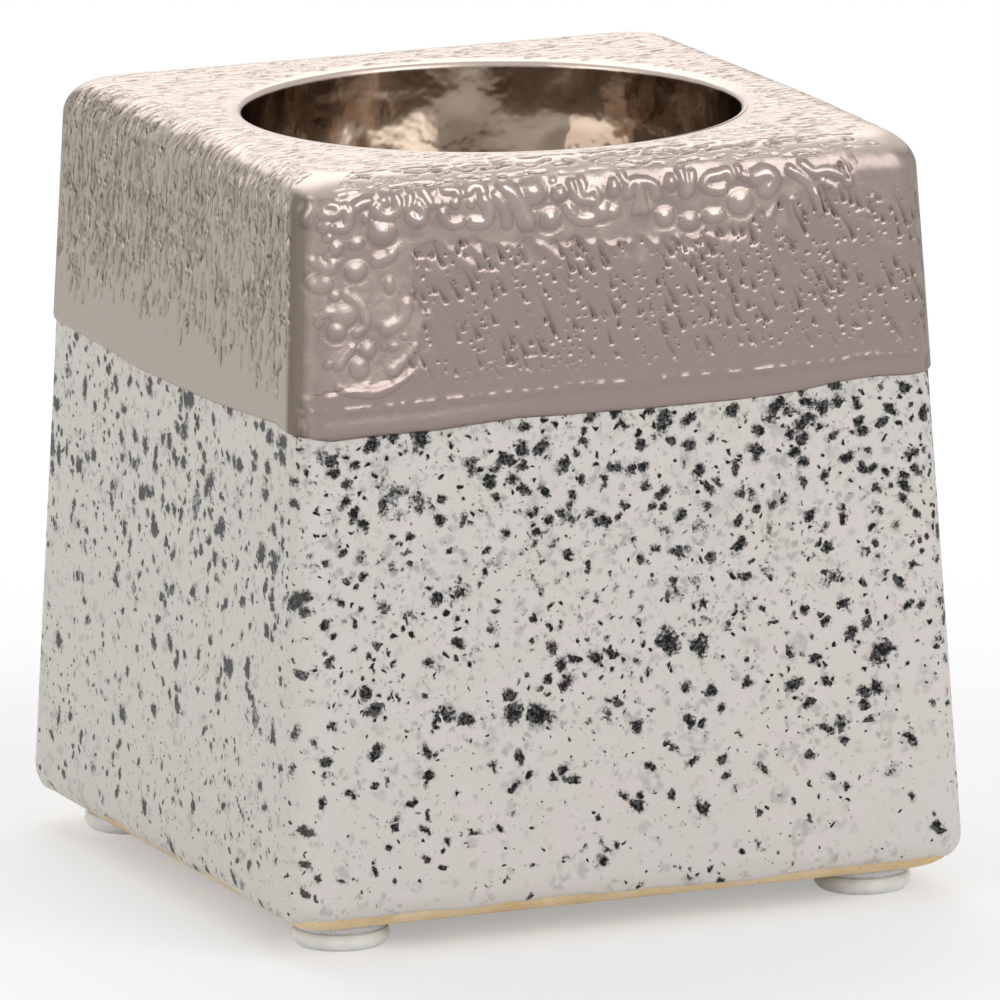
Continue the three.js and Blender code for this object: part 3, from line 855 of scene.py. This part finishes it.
front_share = laid_down("front")
deck_share = laid_down("deck")
laid = laid_down("laid", "Vector")
bark_marks = bark_grooves(laid_down("across"), laid_down("path"), laid_down("bark_share"), laid)
panel_marks = run_marks(laid) * laid_down("panel_share")
drift = place.noise(0.3, 2.0).step(0.4, 0.68)
pooled = laid_down("pooled")
tone = pooled.mix(drift.mix(UMBER_LUSTRE, MAUVE_LUSTRE), MAUVE_LUSTRE)
tone = front_share.mix(OLIVE_LUSTRE, tone)
crest = laid_down("swell")
# Painted shade: a thin dark ring round the foot of each worm and drop, where it meets the ground.
tone = (crest.step(0.0, 0.04) * crest.step(0.2, 0.06) * 0.3).mix(tone, PAINTED_SHADE_LUSTRE)
# The crests are paler, partly because the glaze breaks thin over them and partly as a painted highlight
# along them.
tone = (crest.step(0.25, 1.0) * 0.15).mix(tone, CREST_BREAK_AND_GLINT_LUSTRE)
# Painted shade: a dark band along the pooled panel's edge, where its step drops away.
tone = (pooled.step(0.02, 0.25) * pooled.step(0.98, 0.7) * drift * 0.45).mix(tone, PAINTED_SHADE_LUSTRE)
# Painted dark reflection down the rounded vertical corners, for the dark side of the room that they would
# mirror.
tone = (laid_down("painted_dark_corner") * 0.8).mix(tone, PAINTED_SHADE_LUSTRE)
# Painted sheen: the deck and the top of the fillet face up, so they are given a paler tone for the bright
# light they mirror from above.
tone = (deck_share * 0.85).mix(tone, PAINTED_SHEEN_LUSTRE)
# Painted shade in the grooves of the sides and deck, and in the strokes and pinholes of the panel.
tone = (bark_marks * (0.9 - 0.3 * deck_share)).most(panel_marks * 0.85).mix(tone, PAINTED_SHADE_LUSTRE)
haze = place.noise(0.8, 3.0)
wrinkle = place.noise(1.0, 2.0, 0.55) * front_share * (0.7 - 0.35 * pooled)
up_skin = laid_down("along")
bare_end = place.axis(0).step(27.0, 32.0) * up_skin.step(20.0, 25.0)
glossy = front_share * up_skin.step(31.0, 27.5) * (0.45 + 0.55 * pooled.most(up_skin.step(19.0, 24.0)))
glossy = glossy * (1.0 - 0.75 * bare_end)
fine = (wrinkle - bark_marks * (2.2 - deck_share) - panel_marks).bump(0.4, 0.25)
feed(shader, Base_Color=tone, Metallic=1.0, Normal=fine,
     Roughness=0.36 - 0.14 * glossy + 0.06 * haze)

collar = solid("lustre_collar_coat", points, collar_faces, lustre)
collar_mesh = collar.data
along_skin = np.array(along_skin)
front = ramp(-outward[:, 1], *FRONT_FACING)
deck_from = DECK_FACING + (DECK_FACING_FRONT - DECK_FACING) * ramp(-outward[:, 1], 0.0, 2 / 3)
deck = ramp(outward[:, 2], deck_from, deck_from + DECK_BLEND)
from_mouth = np.hypot(*(points[:, :2] - WELL_MIDDLE).T) - MOUTH_RADIUS
upright = np.maximum(HAIR, 1 - outward[:, 2] ** 2)
sideward = np.abs(outward[:, 0]) / np.sqrt(upright)
cornerward = np.abs(outward[:, 0] * outward[:, 1]) / upright


def eased(course):
    """The course of a worm with its corners rounded off."""
    course = np.array(course)
    for _ in range(3 if len(course) > 2 else 0):
        first, second = course[:-1], course[1:]
        cut = np.stack([0.75 * first + 0.25 * second, 0.25 * first + 0.75 * second], 1).reshape(-1, 2)
        course = np.concatenate([course[:1], cut[1:-1], course[-1:]])
    return course


FAR_OFF = 99.0
swell = np.zeros(len(points))
moat_ring = np.zeros(len(points))
facing_front = front > 0.0
spots = np.stack([points[facing_front, 0], along_skin[facing_front]], 1)
rise = np.zeros(len(spots))
sink = np.zeros(len(spots))
for half_width, *course in WORMS:
    nearest = np.full(len(spots), FAR_OFF)
    course = eased(course)
    for start, end in zip(course[:-1], course[1:]):
        stretch = end - start
        part_way = np.clip((spots - start) @ stretch / (stretch @ stretch), 0.0, 1.0)
        nearest = np.minimum(nearest, np.hypot(*(spots - start - part_way[:, None] * stretch).T))
    reach = nearest / (WORM_SPREAD * half_width)
    rise = np.maximum(rise, half_width / WORM_FULL * np.clip(1 - reach ** 2, 0.0, 1.0) ** WORM_ROUND)
for half_x, half_up, middle_x, middle_up in DROPS:
    reach = np.hypot((spots[:, 0] - middle_x) / half_x, (spots[:, 1] - middle_up) / half_up) / WORM_SPREAD
    bulk = min(1.0, (half_x + half_up) / 2.0)
    rise = np.maximum(rise, bulk * np.clip(1 - reach ** 2, 0.0, 1.0) ** DROP_ROUND)
    if half_up > MOAT_FROM:
        sink = np.maximum(sink, np.exp(-((reach - MOAT_OUT) / MOAT_WIDTH) ** 2))
swell[facing_front] = rise
moat_ring[facing_front] = sink * (rise < 0.05)
top_line = np.interp(points[:, 0], *np.array(PANEL_TOP).T)
left_line = np.interp(along_skin, *np.array(PANEL_LEFT).T)
past_edge = np.maximum(along_skin - top_line, left_line - points[:, 0])
fields = {"front": front, "deck": deck, "along": along_skin,
          "away": np.where(deck > DECK_BLEND, from_mouth, FAR_OFF),
          "corner": ramp(cornerward, 0.0, 0.5) * (1 - deck), "swell": swell, "ring": moat_ring,
          "painted_dark_corner": ramp(sideward, 0.55, 0.75) * ramp(sideward, 0.998, 0.968) * (1 - deck),
          "beyond": past_edge, "across": across_skin, "path": path_skin, "weave": weave_skin}
for name, values in fields.items():
    laid_values = collar_mesh.attributes.new(name, "FLOAT", "POINT")
    laid_values.data.foreach_set("value", np.array(values, dtype=np.float32))
for name, values in (("outward", outward), ("laid", points)):
    laid_values = collar_mesh.attributes.new(name, "FLOAT_VECTOR", "POINT")
    laid_values.data.foreach_set("vector", values.astype(np.float32).ravel())

# How far each kind of relief stands up or sinks in, in millimetres.
RELIEF = {"Groove": 0.48, "Worm": 0.42, "Panel": 0.17, "Stroke": 0.34, "Ridge": 0.22, "Lobe": 0.3,
          "Roll": 0.2, "Hammer": 0.25, "Moat": 0.1}
RIDGE_UP = 3.3
ROLL_UP = 1.9
tree, (form, *relief_sizes) = geometry_tree("crawled relief", RELIEF)
size = dict(zip(RELIEF, relief_sizes))
spot = form.node("GeometryNodeInputPosition").stretch(MILLIMETRES)


def field(name, kind="FLOAT"):
    return form.node("GeometryNodeInputNamedAttribute", {"data_type": kind}, {"Name": name})


front_part = field("front")
along = field("along")
away = field("away")
way = field("outward", "FLOAT_VECTOR")
side_fade = along.step(2.5, 14.0) * away.step(0.3, 2.2) * (1.0 - field("corner").step(0.3, 0.75))
patch = spot.noise(0.11, 1.0).step(0.3, 0.6)
bark_share = side_fade * (0.6 + 0.4 * patch) * field("weave")
bark = bark_grooves(field("across"), field("path"), bark_share, spot) * (1.0 - 0.35 * field("deck"))

across, down = slanted(spot)
lobes = spread(across, down, 1.8, 5.0).noise(1.0, 0.6) - 0.5
beyond = field("beyond") + (spot.noise(0.35, 1.0) - 0.5) * 1.2 + lobes * 2.6
panel = front_part * beyond.step(0.35, -0.4)
smooth_end = spot.axis(0).step(29.0, 33.0) * along.step(22.0, 25.0)
panel_share = panel * along.step(4.4, 7.0) * beyond.step(0.2, -0.6) * (1.0 - smooth_end)
hammered = (spot.noise(0.42, 1.0, 0.4) - 0.5) * front_part * (1.0 - panel) * along.step(4.0, 9.0)
lobe_share = panel * (0.25 + 0.75 * along.step(10.0, 19.0)) * along.step(4.5, 8.0)
ridge_line = along - RIDGE_UP - (spot.noise(0.12, 1.0) - 0.5) * 0.8
ridge = ridge_line.bell(0.0, 0.30) * front_part * spot.noise(0.9, 1.5).step(0.42, 0.54)
scalloped = 1.0 - beyond.step(-4.0, -0.8) * lobes.step(0.14, -0.06)
relief = (size["Worm"] * field("swell") * (0.65 + 0.35 * along.step(18.0, 26.0))
          + size["Panel"] * panel * scalloped * along.step(2.6, 4.0) + size["Ridge"] * ridge
          + size["Hammer"] * hammered + size["Lobe"] * lobes * lobe_share - size["Moat"] * field("ring")
          + size["Roll"] * along.bell(ROLL_UP, 0.9) * front_part * spot.axis(0).step(-6.0, -24.0)
          - size["Groove"] * bark - size["Stroke"] * run_marks(spot) * panel_share)
offset = way.node("ShaderNodeVectorMath", {"operation": "SCALE"}, {0: way, "Scale": relief})
marked = form
for name, value in (("bark_share", bark_share), ("panel_share", panel_share), ("pooled", panel)):
    marked = form.node("GeometryNodeStoreNamedAttribute", {"data_type": "FLOAT", "domain": "POINT"},
                       {0: marked, "Name": name, "Value": value})
raised = form.node("GeometryNodeSetPosition", None, {0: marked, "Offset": offset})
grown(collar, tree, raised, {name: depth / METRE for name, depth in RELIEF.items()}, lustre)
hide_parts("lustre_collar")
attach(collar, "root")


# Cup lining: the same lustre fired dark inside the well, smooth enough to mirror like polished bronze, and
# rolled over the rim so that it meets the deck. It ran a little as it melted, so its face is slightly wavy.
WELL_FLOOR = 45.2
WELL_RADIUS = 30.7
WELL_DRAFT = math.tan(math.radians(2.5))
WELL_LIP = 0.8
WELL_FILLET = 4.0
LINING_THICKNESS = 0.5
LINING_STEPS = 288
LINING_LIP_ROWS, LINING_WALL_ROWS, LINING_FILLET_ROWS, LINING_FLOOR_ROWS = 14, 60, 10, 14
LINING_SETTLE = 0.15
LINING_WAVY = (1.2, 5.2)
POOL_SLOPE = 0.165
POOL_BACK = 0.37 * POOL_SLOPE
POOL_STEP = 0.1
POOL_STEPS = 500
POOL_STARTS, POOL_FULL = (5.0, 8.0), (14.0, 19.0)
POOL_THINS, POOL_ENDS = (17.0, 22.0), (40.0, 46.0)
WAVES = ((3, 0.25, 2.2, 0.06), (5, 0.18, 0.3, 0.05), (9, -0.22, 1.9, 0.04), (14, 0.30, 4.1, 0.02))
SHORES = ((3, 1.0, 1.0), (7, 2.0, 0.8), (13, 0.4, 0.5), (22, 2.6, 0.3), (37, 0.7, 0.12))
lip_turn = np.linspace(0.0, math.pi / 2, LINING_LIP_ROWS)
lip_top = top - MOUTH_ROLL
face = [(MOUTH_RADIUS - WELL_LIP * math.sin(t), lip_top - WELL_LIP * (1 - math.cos(t))) for t in lip_turn]
lowest = WELL_FLOOR + WELL_FILLET
for level in np.linspace(lip_top - WELL_LIP, lowest, LINING_WALL_ROWS)[1:]:
    face.append((WELL_RADIUS - WELL_DRAFT * (lip_top - WELL_LIP - level), level))
bottom_radius = face[-1][0]
for t in np.linspace(0.0, math.pi / 2, LINING_FILLET_ROWS)[1:]:
    face.append((bottom_radius - WELL_FILLET * (1 - math.cos(t)), lowest - WELL_FILLET * math.sin(t)))
for radius in np.linspace(bottom_radius - WELL_FILLET, 0.0, LINING_FLOOR_ROWS)[1:]:
    face.append((radius, WELL_FLOOR))
back = [(0.0, WELL_FLOOR - LINING_THICKNESS), (bottom_radius - WELL_FILLET, WELL_FLOOR - LINING_THICKNESS),
        (bottom_radius + LINING_THICKNESS, lowest), (WELL_RADIUS + LINING_THICKNESS, top - WELL_LIP),
        (MOUTH_RADIUS, top - LINING_THICKNESS)]
lining_points, lining_faces = turned(back + face, LINING_STEPS, WELL_MIDDLE)
from_axis = lining_points[:, :2] - WELL_MIDDLE
angle = np.arctan2(from_axis[:, 1], from_axis[:, 0])
height = lining_points[:, 2]
wave = sum(size * np.sin(turns * angle + rise * height + start) for turns, rise, start, size in WAVES)
sunken = np.linspace(0.0, POOL_STEPS * POOL_STEP, POOL_STEPS + 1)
pool_slope = (POOL_SLOPE * (ramp(sunken, *POOL_STARTS) - ramp(sunken, *POOL_FULL))
              - POOL_BACK * (ramp(sunken, *POOL_THINS) - ramp(sunken, *POOL_ENDS)))
below = ramp(top - height, *LINING_WAVY)
thick = np.interp(top - height - ripples(angle, SHORES) * below, sunken, np.cumsum(pool_slope) * POOL_STEP)
moved = (wave - LINING_SETTLE) * below - thick
moved[:LINING_STEPS * (len(back) - 1)] = 0.0
lining_points[:, :2] += from_axis * (moved / np.maximum(1.0, np.hypot(*from_axis.T)))[:, None]

BRONZE = (0.335, 0.266, 0.207, 1.0)
DARK_REFLECTION_BRONZE = (0.22, 0.165, 0.125, 1.0)
bronze, place, shader = finish("dark bronze lustre")
depth = top - place.axis(2)
on_lip = depth.step(1.25, 0.6)
# Painted reflections: the blotches of dark and lighter bronze and the dark patches near the rim stand in
# for the room that the wavy bronze would mirror.
warped = place.shift(place.noise(0.08, 1.0, 0.5, 1).stretch((14.0, 14.0, 14.0)))
painted_reflections = warped.noise(0.10, 1.5).step(0.40, 0.60)
painted_dark_rim = warped.shift((31.0, 0.0, 7.0)).noise(0.16, 1.0).step(0.50, 0.64) * depth.step(11.0, 2.0)
lining_tone = painted_dark_rim.mix(painted_reflections.mix(DARK_REFLECTION_BRONZE, BRONZE), DARK_REFLECTION_BRONZE)
ripple = place.noise(0.28, 2.0, 0.4).bump(0.17, 1.0)
# The rolled lip takes the deck's paler tone, the same painted sheen.
feed(shader, Base_Color=on_lip.mix(lining_tone, PAINTED_SHEEN_LUSTRE), Metallic=1.0,
     Roughness=0.11 + 0.19 * on_lip + 0.05 * painted_reflections, Normal=ripple)
lining = solid("cup_lining_coat", lining_points, lining_faces, bronze)
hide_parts("cup_lining")
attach(lining, "root")


# Studio: a pale floor that runs into a white surround, soft lamps to the front right, the left and behind,
# and the camera at the photograph's place.
CAMERA_EYE = (-0.715842, -1.725674, 0.436040)
CAMERA_BACK = (-0.375660, -0.903837, 0.204836)
CAMERA_UP = (0.089147, 0.184757, 0.978733)
LENS = 556.53
SENSOR = 36.0
camera_data = bpy.data.cameras.new("photograph camera")
camera_data.sensor_fit = "HORIZONTAL"
camera_data.sensor_width = SENSOR
camera_data.lens = LENS
camera_data.clip_end = 50.0
camera = bpy.data.objects.new("photograph camera", camera_data)
back_axis = Vector(CAMERA_BACK).normalized()
up_axis = Vector(CAMERA_UP).normalized()
right_axis = up_axis.cross(back_axis)
turned_to = Matrix((right_axis, up_axis, back_axis)).transposed().to_4x4()
camera.matrix_world = Matrix.Translation(CAMERA_EYE) @ turned_to
bpy.context.scene.collection.objects.link(camera)
bpy.context.scene.camera = camera

FLOOR_HALF = 6000.0
SHADOW_END = 70.0
WHITE_FROM = 190.0
FLOOR_WHITE = (0.93, 0.93, 0.93, 1.0)
PLAIN_WHITE = (1.0, 1.0, 1.0, 1.0)
floor_paint, place, shader = finish("pale studio floor")
feed(shader, Base_Color=FLOOR_WHITE, Roughness=0.9)
distance = place.node("ShaderNodeVectorMath", {"operation": "LENGTH"}, {0: place}, "Value")
glow = place.node("ShaderNodeEmission", None, {"Color": PLAIN_WHITE, "Strength": 1.0})
matt = Flow(floor_paint.node_tree, shader.outputs[0])


def plainly_seen(flow):
    """1 where the camera, a mirror or a clear piece looks at a surface, 0 where it only lights others."""
    looks = [flow.node("ShaderNodeLightPath", None, None, f"Is {kind} Ray")
             for kind in ("Camera", "Glossy", "Transmission")]
    return looks[0].most(looks[1]).most(looks[2])


whiteness = plainly_seen(place) * (0.35 + 0.65 * distance.step(SHADOW_END, WHITE_FROM))
sweep = place.node("ShaderNodeMixShader", None, {0: whiteness, 1: matt, 2: glow})
feed(floor_paint.node_tree.nodes["Material Output"], Surface=sweep)
floor_corners = [(x * FLOOR_HALF, y * FLOOR_HALF, 0.0) for x, y in ((-1, -1), (1, -1), (1, 1), (-1, 1))]
floor = solid("studio_floor", floor_corners, [(0, 1, 2, 3)], floor_paint, False)

LAMP_AIM = (0.0, 0.0, 0.06)


def lamp(name, place, size, power):
    """A square soft lamp that points at the holder, unseen by the camera."""
    data = bpy.data.lights.new(name, "AREA")
    data.shape = "SQUARE"
    data.size = size
    data.energy = power
    light = bpy.data.objects.new(name, data)
    light.location = place
    light.rotation_euler = (Vector(LAMP_AIM) - Vector(place)).to_track_quat("-Z", "Y").to_euler()
    light.visible_camera = False
    bpy.context.scene.collection.objects.link(light)


lamp("key softbox", (0.49, -1.11, 0.77), 1.0, 7.4)
lamp("left softbox", (-1.30, -0.35, 0.62), 0.9, 4.9)
lamp("back softbox", (0.15, 0.95, 1.05), 1.3, 9.0)

surround = bpy.data.worlds.new("white surround")
surround.use_nodes = True
bpy.context.scene.world = surround
sky = surround.node_tree.nodes["Background"]
feed(sky, Color=PLAIN_WHITE, Strength=0.5 + 0.5 * plainly_seen(Flow(surround.node_tree)))
bpy.context.scene.view_settings.view_transform = "Standard"
